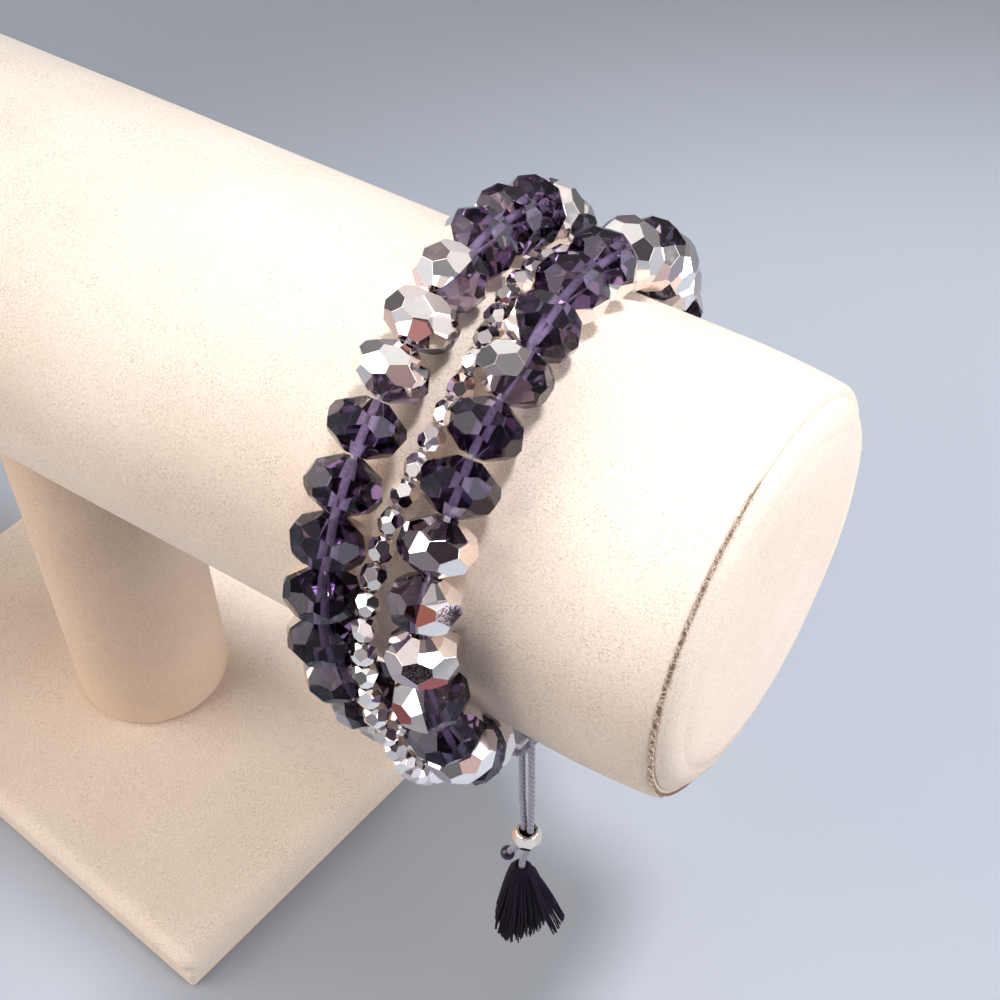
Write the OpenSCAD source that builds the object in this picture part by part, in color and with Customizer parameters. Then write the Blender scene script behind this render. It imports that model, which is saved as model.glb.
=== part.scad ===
// Three-strand crystal bracelet on a padded T-bar display stand.
// Units are millimetres. The origin is under the middle of the stand, at the
// base's underside. The padded roll lies along X, the bracelet hangs on its
// +X half, and -Y is the side that faces the viewer.

/* [Stand] */
// Radius of the padded roll
roll_r = 24; // [23.8:0.1:24.2]
// Length of the roll's side fabric, between the end discs
roll_length = 204.4; // [200:0.2:220]
// Height of the roll's axis above the table
axis_height = 94.4; // [94.2:0.1:94.6]
// Rounding of the side fabric where it turns in at the seam
seam_r = 1.0; // [0.6:0.1:1.5]
// Rounding of an end disc's padded rim
rim_r = 5.0; // [4.6:0.1:5.4]
// Thickness of an end disc at its rim
rim_t = 2.4; // [2:0.1:2.8]
// How far an end disc bulges beyond its rim at its middle
disc_bulge = 0.4; // [0.2:0.1:0.8]
// Radius of the upright post
post_r = 12.2; // [11:0.1:14]
// Length of the base along the roll
base_x = 88; // [80:1:100]
// Width of the base across the roll
base_y = 67; // [60:1:80]
// Thickness of the padded base
base_t = 6.6; // [6:0.1:8]
// How far the base is turned on its post, in degrees
base_turn = -7; // [-10:1:10]

/* [Large crystal beads] */
// Width of a large bead across its girdle
big_w = 8.0; // [7.6:0.1:8.0]
// Length of a large bead along its hole
big_l = 5.45; // [5.2:0.05:5.45]
// Diameter of a large bead's hole
big_hole = 1.1; // [1:0.1:1.3]
// Spacing of the large beads along their thread
big_pitch = 5.95; // [5.95:0.01:6.1]

/* [Small silver beads] */
// Width of a small bead across its girdle
small_w = 2.75; // [2.4:0.05:2.75]
// Length of a small bead along its hole
small_l = 2.6; // [2.2:0.05:2.6]
// Diameter of a small bead's hole
small_hole = 0.9; // [0.9:0.1:1]
// Spacing of the small beads along their thread
small_pitch = 2.9; // [2.9:0.05:3.1]

/* [Threads and closure] */
// Diameter of the threads in the large beads
big_thread = 0.7; // [0.5:0.1:0.7]
// Diameter of the thread in the small beads
small_thread = 0.5; // [0.4:0.1:0.5]
// Radius of the closure knot
knot_r = 3.0; // [3:0.1:3.3]
// Length of the closure knot along the threads
knot_l = 8.0; // [7:0.2:9]

/* [Tassel] */
// Diameter of each of the two tassel cords
cord_d = 0.9; // [0.8:0.1:0.9]
// Width of the silver bead that slides on both cords
slider_w = 4.0; // [3.8:0.1:4.2]
// Length of the silver bead along the cords
slider_l = 3.0; // [2.8:0.1:3.2]
// Diameter of the dark bead at the end of the short cord
end_bead_d = 2.0; // [1.9:0.1:2.1]
// Number of locks round the tassel
locks = 11; // [8:1:14]

/* [Hidden] */

velvet = "bisque";
crystal = "indigo";
silver = "silver";
dark = "#1d1024";
grey = "slategray";

// Clear gap between neighbouring pieces that don't meet face to face
seat = 0.15;

// Slope of a bead's crown facets, by bead size, and lean of the girdle facets
big_crown = 58;
small_crown = 50;
girdle_tilt = 18;

// Where each strand lies round the roll.
// Columns: angle about the roll's axis (0 is the front, 90 the top),
// place along the roll, height of the thread above the velvet.
left_rows = [
    [-72, 75.6, 5.9],
    [-50, 71.6, 4.7],
    [-20, 69.6, 4.4],
    [0, 67.7, 4.5],
    [25, 67.3, 4.5],
    [50, 67.2, 4.4],
    [75, 66.6, 4.2],
    [100, 65.5, 4.2],
    [120, 64.6, 4.2],
    [138, 64.0, 4.2],
    [155, 62.7, 4.2],
    [172, 62.4, 4.3],
    [195, 63.8, 4.6],
    [230, 69.0, 5.6],
    [262, 74.0, 6.7],
    [288, 77.4, 6.8],
];
right_rows = [
    [-72, 78.4, 4.6],
    [-58, 78.6, 4.4],
    [-45, 79.7, 4.3],
    [-33, 81.1, 4.3],
    [-18, 81.8, 4.3],
    [0, 80.4, 4.5],
    [25, 79.0, 4.5],
    [50, 78.4, 4.2],
    [75, 77.9, 4.2],
    [100, 77.0, 4.2],
    [120, 77.0, 4.2],
    [138, 77.0, 4.2],
    [155, 75.9, 4.2],
    [172, 75.6, 4.2],
    [195, 76.9, 4.4],
    [230, 80.8, 5.0],
    [265, 82.8, 6.0],
    [288, 81.6, 6.6],
];
silver_rows = [
    [-72, 78.2, 8.6],
    [-50, 76.4, 9.7],
    [-34, 76.8, 9.0],
    [-20, 76.4, 7.8],
    [-8, 74.4, 6.7],
    [7, 73.2, 5.4],
    [28, 72.6, 3.7],
    [44, 72.9, 2.7],
    [60, 73.0, 1.9],
    [75, 72.6, 1.6],
    [90, 71.1, 1.6],
    [105, 70.4, 1.6],
    [125, 70.6, 1.7],
    [150, 70.0, 1.9],
    [185, 70.3, 2.6],
    [210, 72.4, 5.0],
    [232, 75.2, 7.8],
    [255, 78.2, 9.6],
    [270, 79.3, 9.8],
    [288, 79.5, 8.6],
];

// Columns: angle of the bead that sets the spacing, angle where the beads
// start, angle where they end. The rest of the loop runs bare into the knot.
left_span = [14.0, -52, 262];
right_span = [11.4, -56, 266];
silver_span = [17.0, -62, 276];

// The closure knot sits under the roll, and the threads run straight through
knot_angle = -72;
knot_lift = 7.4;
knot_x = 79.5;
knot_holes = [-1.6, 1.6, 0];
knot_depths = [-0.7, -0.7, 0.9];

// The two tassel cords hang plumb from the knot
cord_y = -9.6;
long_cord_route = [
    [80.2, -9.6, 63.4],
    [80.2, -9.6, 62.0],
    [80.2, -9.6, 60.0],
    [80.2, -9.6, 58.0],
    [80.2, -9.6, 56.0],
    [80.2, -9.6, 54.0],
    [80.2, -9.6, 52.0],
    [80.2, -9.6, 50.0],
    [80.2, -9.6, 48.0],
    [80.1, -9.6, 46.0],
    [80.1, -9.6, 44.0],
    [80.0, -9.6, 42.0],
    [80.0, -9.6, 40.0],
    [80.0, -9.6, 38.0],
    [79.8, -9.6, 36.4],
    [79.4, -9.6, 34.8],
    [79.0, -9.6, 33.2],
    [78.7, -9.6, 31.6],
    [78.6, -9.6, 29.6],
];
short_cord_route = [
    [78.8, -9.6, 63.4],
    [78.8, -9.6, 62.0],
    [78.8, -9.6, 60.0],
    [78.8, -9.6, 58.0],
    [78.8, -9.6, 56.0],
    [78.8, -9.6, 54.0],
    [78.8, -9.6, 52.0],
    [78.8, -9.6, 50.0],
    [78.8, -9.6, 48.0],
    [78.9, -9.6, 46.0],
    [78.9, -9.6, 44.0],
    [79.0, -9.6, 42.0],
    [79.0, -9.6, 40.0],
    [79.0, -9.6, 38.0],
    [78.7, -9.6, 36.4],
    [78.0, -9.6, 34.9],
    [77.2, -9.6, 33.5],
    [76.6, -9.6, 32.2],
];
slider_z = 39.0;
end_bead_at = [76.35, -9.6, 31.6];

// The tassel's core. Columns: height, radius, place along X
tassel_rows = [
    [30.5, 0.9, 78.6],
    [29.2, 1.5, 78.5],
    [27.4, 2.4, 78.4],
    [24.5, 3.1, 78.2],
    [20.5, 3.6, 78.1],
    [17.5, 3.7, 78.0],
    [15.4, 3.4, 78.0],
];

function unit(v) = v / norm(v);

// A smooth curve through the rows of a table, by cubic pieces
function row_under(rows, a, i = 0) =
    i >= len(rows) - 2 || a < rows[i + 1][0] ? i : row_under(rows, a, i + 1);
function slope(rows, i, c) =
    i == 0 || i == len(rows) - 1 ? 0
    : (rows[i + 1][c] - rows[i - 1][c]) / (rows[i + 1][0] - rows[i - 1][0]);
function between(rows, a, c) =
    let (i = row_under(rows, a))
    let (w = rows[i + 1][0] - rows[i][0])
    let (t = (a - rows[i][0]) / w)
    (2 * t * t * t - 3 * t * t + 1) * rows[i][c]
    + (t * t * t - 2 * t * t + t) * w * slope(rows, i, c)
    + (3 * t * t - 2 * t * t * t) * rows[i + 1][c]
    + (t * t * t - t * t) * w * slope(rows, i + 1, c);

// The thread's place at an angle round the roll
function round_roll(a, x, lift) =
    [x, -(roll_r + lift) * cos(a), axis_height + (roll_r + lift) * sin(a)];
function strand_point(rows, a) = round_roll(a, between(rows, a, 1), between(rows, a, 2));

// Length along a strand at each degree, so that beads can be spaced evenly
function lengths(rows, a0, a1) = [
    for (
        a = a0, s = 0;
        a <= a1;
        s = s + norm(strand_point(rows, min(a + 1, a1)) - strand_point(rows, a)), a = a + 1
    ) [a, s]
];
function swapped(table) = [for (row = table) [row[1], row[0]]];

// Angles of the beads of a strand
function bead_angles(rows, span, pitch) =
    let (table = lengths(rows, rows[0][0], rows[len(rows) - 1][0]))
    let (back = swapped(table))
    let (anchor = lookup(span[0], table))
    let (first = ceil((lookup(span[1], table) - anchor) / pitch))
    let (last = floor((lookup(span[2], table) - anchor) / pitch))
    [for (k = [first:last]) lookup(anchor + k * pitch, back)];

// Centres of the beads, and the way that each one's hole points
function bead_centres(rows, span, pitch) =
    [for (a = bead_angles(rows, span, pitch)) strand_point(rows, a)];
function bead_ways(centres) = [
    for (i = [0:len(centres) - 1])
        unit(centres[min(i + 1, len(centres) - 1)] - centres[max(i - 1, 0)])
];

// Knot geometry: its middle, its axis along the threads, and a hole's two ends
function knot_middle() = round_roll(knot_angle, knot_x, knot_lift);
function knot_way() = [0, sin(knot_angle), cos(knot_angle)];
function knot_out() = [0, -cos(knot_angle), sin(knot_angle)];
function knot_hole(i, side) =
    knot_middle() + [knot_holes[i], 0, 0] + knot_depths[i] * knot_out()
    + side * (knot_l / 2 + 0.4) * knot_way();

// A thread bends only in the gaps between beads and at the knot
function thread_path(centres, ways, bead_l, hole) =
    let (n = len(centres))
    concat(
        [knot_hole(hole, 1)],
        [centres[0] - ways[0] * (bead_l / 2 + 0.3)],
        [for (i = [0:n - 2]) (centres[i] + centres[i + 1]) / 2 + (ways[i] - ways[i + 1]) * bead_l / 4],
        [centres[n - 1] + ways[n - 1] * (bead_l / 2 + 0.3)],
        [knot_hole(hole, -1)]
    );

// Turns what stands on the Z axis to stand at a point and look along a way
module place(at, way) {
    translate(at)
        rotate([0, acos(way[2]), atan2(way[1], way[0])])
            children();
}

// A tube of flat sides through the points of a path. Each point has a radius.
// The sides are lined up with ref, which is never along the path.
module tube(path, radii, sides, ref, closed = false) {
    n = len(path);
    ways = [
        for (i = [0:n - 1])
            closed ? unit(path[(i + 1) % n] - path[(i + n - 1) % n])
            : unit(path[min(i + 1, n - 1)] - path[max(i - 1, 0)])
    ];
    points = [
        for (i = [0:n - 1])
            let (u = unit(ref - (ref * ways[i]) * ways[i]))
            let (v = cross(ways[i], u))
            for (k = [0:sides - 1])
                path[i] + radii[i] * (cos(k * 360 / sides) * u + sin(k * 360 / sides) * v)
    ];
    walls = [
        for (i = [0:(closed ? n - 1 : n - 2)])
            for (k = [0:sides - 1])
                let (j = (i + 1) % n)
                let (m = (k + 1) % sides)
                for (face = [
                    [i * sides + k, j * sides + k, j * sides + m],
                    [i * sides + k, j * sides + m, i * sides + m]
                ]) face
    ];
    ends = closed ? [] : [
        [for (k = [0:sides - 1]) k],
        [for (k = [sides - 1:-1:0]) (n - 1) * sides + k]
    ];
    polyhedron(points = points, faces = concat(walls, ends), convexity = 6);
}

// A cut bead: end tables, crown facets, and two rows of girdle facets that
// meet in a zigzag. The lower half is turned by half a facet.
function crown_reach(n, l, table, tilt) =
    table * cos(tilt) * cos(180 / n) + l / 2 * sin(tilt);
function girdle_rise(n, w) = w / 2 * (1 - cos(180 / n)) / (2 * tan(girdle_tilt));
function girdle_reach(n, w) = w / 2 * cos(girdle_tilt) - girdle_rise(n, w) * sin(girdle_tilt);
// Radius and height where two facet planes meet, seen at one azimuth
function meet(c1, s1, h1, c2, s2, h2) =
    let (det = c1 * s2 - c2 * s1)
    [(h1 * s2 - h2 * s1) / det, (c1 * h2 - c2 * h1) / det];
function ring(n, shift, r, z) = [
    for (k = [0:n - 1])
        [r * cos((k + shift) * 360 / n), r * sin((k + shift) * 360 / n), z]
];

module cut_bead(n, w, l, table, tilt) {
    half = cos(180 / n);
    h1 = crown_reach(n, l, table, tilt);
    h2 = girdle_reach(n, w);
    zc = girdle_rise(n, w);
    crown = [cos(tilt), sin(tilt)];
    girdle = [cos(girdle_tilt), sin(girdle_tilt)];
    at_k = meet(crown[0] * half, crown[1], h1, girdle[0], girdle[1], h2);
    at_half = meet(crown[0], crown[1], h1, girdle[0] * half, girdle[1], h2);
    points = concat(
        ring(n, 0, table, l / 2),
        ring(n, 0, at_k[0], at_k[1]),
        ring(n, 0.5, at_half[0], at_half[1]),
        ring(n, 0.5, w / 2, zc),
        ring(n, 0, w / 2, -zc),
        ring(n, 0, at_half[0], -at_half[1]),
        ring(n, 0.5, at_k[0], -at_k[1]),
        ring(n, 0.5, table, -l / 2)
    );
    faces = concat(
        [[for (k = [n - 1:-1:0]) k]],
        [
            for (k = [0:n - 1])
                let (m = (k + 1) % n)
                [k, m, n + m, 2 * n + k, n + k]
        ],
        [
            for (k = [0:n - 1])
                let (p = (k + n - 1) % n)
                [n + k, 2 * n + k, 3 * n + k, 4 * n + k, 3 * n + p, 2 * n + p]
        ],
        [
            for (k = [0:n - 1])
                let (m = (k + 1) % n)
                [3 * n + k, 4 * n + m, 5 * n + m, 6 * n + k, 5 * n + k, 4 * n + k]
        ],
        [
            for (k = [0:n - 1])
                let (p = (k + n - 1) % n)
                [5 * n + k, 6 * n + k, 7 * n + k, 7 * n + p, 6 * n + p]
        ],
        [[for (k = [0:n - 1]) 7 * n + k]]
    );
    polyhedron(points = points, faces = faces, convexity = 4);
}

module big_bead() {
    difference() {
        cut_bead(8, big_w, big_l, 1.6, big_crown);
        cylinder(h = big_l + 2, d = big_hole, center = true, $fn = 16);
    }
}

module small_bead() {
    difference() {
        cut_bead(6, small_w, small_l, 0.75, small_crown);
        cylinder(h = small_l + 2, d = small_hole, center = true, $fn = 16);
    }
}

// The padded plate that stands on the table
module stand_base() {
    r = 2.4;
    color(velvet)
        rotate([0, 0, base_turn]) {
            translate([-base_x / 2 + r, -base_y / 2 + r, 0])
                cube([base_x - 2 * r, base_y - 2 * r, base_t]);
            translate([-base_x / 2, -base_y / 2 + r, 0])
                cube([base_x, base_y - 2 * r, base_t - r]);
            translate([-base_x / 2 + r, -base_y / 2, 0])
                cube([base_x - 2 * r, base_y, base_t - r]);
            for (sx = [-1, 1], sy = [-1, 1])
                translate([sx * (base_x / 2 - r), sy * (base_y / 2 - r), 0]) {
                    cylinder(h = base_t - r, r = r, $fn = 48);
                    translate([0, 0, base_t - r])
                        sphere(r = r, $fn = 48);
                }
            for (sy = [-1, 1])
                translate([0, sy * (base_y / 2 - r), base_t - r])
                    rotate([0, 90, 0])
                        cylinder(h = base_x - 2 * r, r = r, center = true, $fn = 48);
            for (sx = [-1, 1])
                translate([sx * (base_x / 2 - r), 0, base_t - r])
                    rotate([90, 0, 0])
                        cylinder(h = base_y - 2 * r, r = r, center = true, $fn = 48);
        }
}

// The upright, with a soft edge at its foot and a saddle for the roll
module stand_post() {
    edge = 1.2;
    color(velvet)
        difference() {
            translate([0, 0, base_t])
                rotate_extrude($fn = 96) {
                    translate([0, edge])
                        square([post_r, axis_height - base_t - edge]);
                    square([post_r - edge, edge]);
                    translate([post_r - edge, edge])
                        circle(r = edge, $fn = 32);
                }
            translate([0, 0, axis_height])
                rotate([0, 90, 0])
                    cylinder(h = 4 * post_r, r = roll_r + seat, center = true, $fn = 128);
        }
}

// The padded roll's side fabric
module stand_roll() {
    color(velvet)
        translate([-roll_length / 2, 0, axis_height])
            rotate([0, 90, 0])
                rotate_extrude($fn = 128) {
                    translate([0, seam_r])
                        square([roll_r, roll_length - 2 * seam_r]);
                    square([roll_r - seam_r, roll_length]);
                    for (z = [seam_r, roll_length - seam_r])
                        translate([roll_r - seam_r, z])
                            circle(r = seam_r, $fn = 32);
                }
}

// One padded end disc: a soft rim that turns in at the seam, then a slight bulge
module end_disc(side) {
    flat_r = roll_r - rim_r;
    rim_z = rim_t - rim_r;
    bulge_r = (flat_r * flat_r + disc_bulge * disc_bulge) / (2 * disc_bulge);
    color(velvet)
        translate([side * roll_length / 2, 0, axis_height])
            rotate([0, side * 90, 0])
                rotate_extrude($fn = 128) {
                    square([flat_r, rim_t]);
                    intersection() {
                        translate([flat_r, rim_z])
                            circle(r = rim_r, $fn = 64);
                        square([roll_r + 1, rim_t + 1]);
                    }
                    intersection() {
                        translate([0, rim_t + disc_bulge - bulge_r])
                            circle(r = bulge_r, $fn = 256);
                        square([flat_r, rim_t + disc_bulge]);
                    }
                }
}

module end_disc_right() {
    end_disc(1);
}

module end_disc_left() {
    end_disc(-1);
}

// Large beads of one strand, each turned a little on from the last
module crystal_strand(rows, span) {
    centres = bead_centres(rows, span, big_pitch);
    ways = bead_ways(centres);
    color(crystal)
        for (i = [0:len(centres) - 1])
            place(centres[i], ways[i])
                rotate([0, 0, (i * 17) % 45])
                    big_bead();
}

module crystal_strand_left() {
    crystal_strand(left_rows, left_span);
}

module crystal_strand_right() {
    crystal_strand(right_rows, right_span);
}

module silver_strand() {
    centres = bead_centres(silver_rows, silver_span, small_pitch);
    ways = bead_ways(centres);
    color(silver)
        for (i = [0:len(centres) - 1])
            place(centres[i], ways[i])
                rotate([0, 0, (i * 23) % 60])
                    small_bead();
}

// The thread of one strand, closed into a ring through the knot
module thread(rows, span, pitch, bead_l, hole, d) {
    centres = bead_centres(rows, span, pitch);
    path = thread_path(centres, bead_ways(centres), bead_l, hole);
    color(grey)
        tube(path, [for (p = path) d / 2], 6, [1, 0, 0], closed = true);
}

module thread_left() {
    thread(left_rows, left_span, big_pitch, big_l, 0, big_thread);
}

module thread_right() {
    thread(right_rows, right_span, big_pitch, big_l, 1, big_thread);
}

module thread_silver() {
    thread(silver_rows, silver_span, small_pitch, small_l, 2, small_thread);
}

// A plain barrel knot with a hole for each thread and a socket for each cord
module closure_knot() {
    end_r = 0.8;
    color(grey)
        difference() {
            place(knot_middle(), knot_way())
                translate([0, 0, -knot_l / 2])
                    rotate_extrude($fn = 64) {
                        translate([0, end_r])
                            square([knot_r, knot_l - 2 * end_r]);
                        square([knot_r - end_r, knot_l]);
                        for (z = [end_r, knot_l - end_r])
                            translate([knot_r - end_r, z])
                                circle(r = end_r, $fn = 32);
                    }
            for (i = [0:2])
                place(
                    knot_middle() + [knot_holes[i], 0, 0] + knot_depths[i] * knot_out(),
                    knot_way()
                )
                    cylinder(h = knot_l + 2, r = 0.5, center = true, $fn = 24);
            for (route = [long_cord_route, short_cord_route])
                translate([route[0][0], route[0][1], 50])
                    cylinder(h = route[0][2] - 50 + seat, r = cord_d / 2 + 0.1, $fn = 24);
        }
}

module tassel_cord_long() {
    color(grey)
        tube(long_cord_route, [for (p = long_cord_route) cord_d / 2], 8, [1, 0, 0]);
}

module tassel_cord_short() {
    color(grey)
        tube(short_cord_route, [for (p = short_cord_route) cord_d / 2], 8, [0, 1, 0]);
}

// The silver bead that holds both cords
module slider_bead() {
    color(silver)
        translate([79.5, cord_y, slider_z])
            difference() {
                cut_bead(8, slider_w, slider_l, 1.5, small_crown);
                cylinder(h = slider_l + 2, r = 1.1, center = true, $fn = 32);
            }
}

// The dark bead on the short cord, with a blind hole for the cord's end
module end_bead() {
    top = short_cord_route[len(short_cord_route) - 1];
    way = unit(top - short_cord_route[len(short_cord_route) - 3]);
    color(dark)
        difference() {
            translate(end_bead_at)
                sphere(d = end_bead_d, $fn = 96);
            place(top + 0.1 * way, -way)
                cylinder(h = 4, r = cord_d / 2 + 0.1, $fn = 24);
        }
}

// One lock of the tassel: a tapered strip from the head to the tip
module lock(turn, spread, drop, lean) {
    head = [78.5, cord_y, 28.9];
    path = [
        for (t = [0, 0.2, 0.45, 0.7, 0.9, 1])
            head + [
                (0.6 + spread * pow(t, 0.75)) * cos(turn) + lean * t * t,
                (0.6 + spread * pow(t, 0.75)) * sin(turn),
                -drop * t
            ]
    ];
    radii = [0.9, 1.25, 1.35, 1.3, 0.9, 0.35];
    tube(path, radii, 6, [-sin(turn), cos(turn), 0]);
}

// The tassel: a core that widens downwards, and locks fused to it
module tassel() {
    top = long_cord_route[len(long_cord_route) - 1];
    color(dark)
        difference() {
            union() {
                tube(
                    [for (row = tassel_rows) [row[2], cord_y, row[0]]],
                    [for (row = tassel_rows) row[1]],
                    12,
                    [1, 0, 0]
                );
                for (i = [0:locks - 1])
                    lock(i * 360 / locks, 3.2 + 0.5 * sin(i * 97), 14.2 + 0.8 * sin(i * 151), -0.4);
                lock(8, 5.4, 10.8, 1.0);
            }
            translate([top[0], top[1], top[2] - seat])
                cylinder(h = 5, r = cord_d / 2 + 0.12, $fn = 24);
        }
}

stand_base();
stand_post();
stand_roll();
end_disc_right();
end_disc_left();
crystal_strand_left();
crystal_strand_right();
silver_strand();
thread_left();
thread_right();
thread_silver();
closure_knot();
tassel_cord_long();
tassel_cord_short();
slider_bead();
end_bead();
tassel();
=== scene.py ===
"""Looks of a three-strand crystal bracelet on its velvet-covered display stand.

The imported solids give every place. Sizes below are in millimetres unless a name
says otherwise, and become metres as each piece is placed.
"""

import logging
import math
import random
from contextlib import contextmanager
from dataclasses import dataclass, field
from enum import Enum
from typing import Callable, Dict, Iterable, Iterator, List, Optional, Sequence, Tuple, Union

import bmesh
import bpy
import numpy as np
from mathutils import Matrix, Vector, noise


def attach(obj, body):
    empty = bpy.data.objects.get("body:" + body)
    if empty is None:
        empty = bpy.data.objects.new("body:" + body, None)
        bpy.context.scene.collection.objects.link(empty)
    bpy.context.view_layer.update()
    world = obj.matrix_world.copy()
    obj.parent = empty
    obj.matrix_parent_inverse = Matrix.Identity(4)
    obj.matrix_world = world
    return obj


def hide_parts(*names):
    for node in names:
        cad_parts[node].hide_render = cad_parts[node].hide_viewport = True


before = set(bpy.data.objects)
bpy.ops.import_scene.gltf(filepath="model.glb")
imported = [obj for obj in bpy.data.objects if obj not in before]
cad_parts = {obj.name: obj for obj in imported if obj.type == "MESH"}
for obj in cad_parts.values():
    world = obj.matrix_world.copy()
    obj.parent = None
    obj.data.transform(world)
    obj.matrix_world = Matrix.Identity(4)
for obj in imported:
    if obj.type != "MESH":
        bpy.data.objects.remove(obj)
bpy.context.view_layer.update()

LOG = logging.getLogger("bracelet")
MM = 0.001
SKIN, HOLE, COATED = 0, 1, 2
Point = Tuple[float, float, float]
Socket = bpy.types.NodeSocket
Feed = Union[bpy.types.NodeSocket, float]
Tint = Union[bpy.types.NodeSocket, Point]


# Bench work


def deselect_all() -> None:
    """Leave nothing selected, so that an operator acts on the next piece alone."""
    if bpy.context.object is not None and bpy.context.object.mode != "OBJECT":
        bpy.ops.object.mode_set(mode="OBJECT")
    bpy.ops.object.select_all(action="DESELECT")


def take_up(*pieces: bpy.types.Object) -> bpy.types.Object:
    """Select pieces and make the first one active.

    Args:
        pieces: The pieces to work on.

    Returns:
        The first piece.
    """
    deselect_all()
    for piece in pieces:
        piece.select_set(True)
    bpy.context.view_layer.objects.active = pieces[0]
    return pieces[0]


@contextmanager
def editing(piece: bpy.types.Object) -> Iterator[None]:
    """Open a piece in edit mode and close it again.

    Args:
        piece: The mesh piece to edit.
    """
    take_up(piece)
    bpy.ops.object.mode_set(mode="EDIT")
    yield
    bpy.ops.object.mode_set(mode="OBJECT")


def pick(piece: bpy.types.Object, kind: str, test: Callable[..., bool]) -> None:
    """Select the faces, edges or vertices that pass a test, in edit mode.

    Args:
        piece: The piece that is open in edit mode.
        kind: "FACE", "EDGE" or "VERT".
        test: Says whether one of them is wanted.
    """
    bpy.ops.mesh.select_mode(type=kind)
    bpy.ops.mesh.select_all(action="DESELECT")
    bm = bmesh.from_edit_mesh(piece.data)
    for item in {"FACE": bm.faces, "EDGE": bm.edges, "VERT": bm.verts}[kind]:
        if test(item):
            item.select_set(True)
    bm.select_flush_mode()
    bmesh.update_edit_mesh(piece.data)


def settle(piece: bpy.types.Object, place: Matrix) -> None:
    """Put a finished piece's place into its mesh and leave its object at the origin.

    Args:
        piece: The mesh piece.
        place: Where its millimetre mesh goes, as a matrix in millimetres.
    """
    piece.data.transform(Matrix.Scale(MM, 4) @ place)
    piece.matrix_world = Matrix.Identity(4)
    piece.data.update()


def points_of(piece: bpy.types.Object) -> np.ndarray:
    """List the vertices of a mesh piece.

    Args:
        piece: The mesh piece.

    Returns:
        One row of x, y, z for each vertex.
    """
    rows = np.empty(len(piece.data.vertices) * 3)
    piece.data.vertices.foreach_get("co", rows)
    return rows.reshape(-1, 3)


def move_points(piece: bpy.types.Object, rows: np.ndarray) -> None:
    """Give a mesh piece new vertex places.

    Args:
        piece: The mesh piece.
        rows: One row of x, y, z for each vertex.
    """
    piece.data.vertices.foreach_set("co", rows.astype(np.float32).ravel())
    piece.data.update()


def close_up(piece: bpy.types.Object, gap: float) -> None:
    """Merge doubles and point every face outwards.

    Args:
        piece: The mesh piece.
        gap: Vertices nearer than this are merged.
    """
    with editing(piece):
        bpy.ops.mesh.select_all(action="SELECT")
        bpy.ops.mesh.remove_doubles(threshold=gap)
        bpy.ops.mesh.normals_make_consistent(inside=False)


def join(name: str, pieces: Sequence[bpy.types.Object]) -> bpy.types.Object:
    """Join pieces into one and name it.

    Args:
        name: The new piece's name.
        pieces: What is joined.

    Returns:
        The joined piece.
    """
    whole = take_up(*pieces)
    if len(pieces) > 1:
        bpy.ops.object.join()
    whole.name = name
    whole.data.name = name
    return whole


def lathe(name: str, outline: Sequence[Tuple[float, float]], steps: int) -> bpy.types.Object:
    """Spin an outline round the Z axis into a closed skin.

    Args:
        name: The piece's name.
        outline: Rows of radius and height, from one pole to the other.
        steps: How many flats go round.

    Returns:
        The skin, in millimetres.
    """
    mesh = bpy.data.meshes.new(name)
    mesh.from_pydata([(r, 0.0, z) for r, z in outline], [(i, i + 1) for i in range(len(outline) - 1)], [])
    piece = bpy.data.objects.new(name, mesh)
    bpy.context.scene.collection.objects.link(piece)
    with editing(piece):
        bpy.ops.mesh.select_all(action="SELECT")
        bpy.ops.mesh.spin(steps=steps, angle=2 * math.pi, center=(0, 0, 0), axis=(0, 0, 1))
    close_up(piece, 0.004)
    return piece


def drawn_tube(name: str, runs: Sequence[Sequence[Point]], radius: float, sides: int,
               taper: Optional[Callable[[float], float]] = None) -> bpy.types.Object:
    """Draw tubes along runs of points, as one mesh.

    Args:
        name: The piece's name.
        runs: One list of points for each tube.
        radius: The tube's radius.
        sides: Roughly how many flats go round.
        taper: Gives the share of the radius at a share of the way along.

    Returns:
        The tubes, in millimetres, with a UV map that runs along them.
    """
    curve = bpy.data.curves.new(name, "CURVE")
    curve.dimensions = "3D"
    curve.bevel_depth = radius
    curve.bevel_resolution = max(0, sides // 4 - 1)
    curve.use_fill_caps = True
    for run in runs:
        line = curve.splines.new("POLY")
        line.points.add(len(run) - 1)
        for i, point in enumerate(run):
            line.points[i].co = (*point, 1.0)
            line.points[i].radius = taper(i / (len(run) - 1)) if taper else 1.0
    piece = bpy.data.objects.new(name, curve)
    bpy.context.scene.collection.objects.link(piece)
    take_up(piece)
    bpy.ops.object.convert(target="MESH")
    return bpy.context.object


def smooth_run(points: Sequence[Point], parts: int) -> List[Point]:
    """Run a smooth line through points.

    Args:
        points: The points that it passes.
        parts: How many steps lie between two of them.

    Returns:
        The line's points.
    """
    rows = [Vector(p) for p in points]
    rows = [2 * rows[0] - rows[1], *rows, 2 * rows[-1] - rows[-2]]
    line: List[Point] = []
    for i in range(1, len(rows) - 2):
        a, b, c, d = rows[i - 1:i + 3]
        for k in range(parts):
            t = k / parts
            line.append(tuple(0.5 * (2 * b + (c - a) * t + (2 * a - 5 * b + 4 * c - d) * t * t
                                     + (3 * b - a - 3 * c + d) * t ** 3)))
    line.append(tuple(rows[-2]))
    return line


def shade(piece: bpy.types.Object, angle: Optional[float] = None) -> None:
    """Shade a piece smooth, all over or up to an angle.

    Args:
        piece: The mesh piece.
        angle: The sharpest angle in degrees that is still shaded smooth.
    """
    take_up(piece)
    if angle is None:
        bpy.ops.object.shade_smooth()
    else:
        bpy.ops.object.shade_smooth_by_angle(angle=math.radians(angle))


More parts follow.
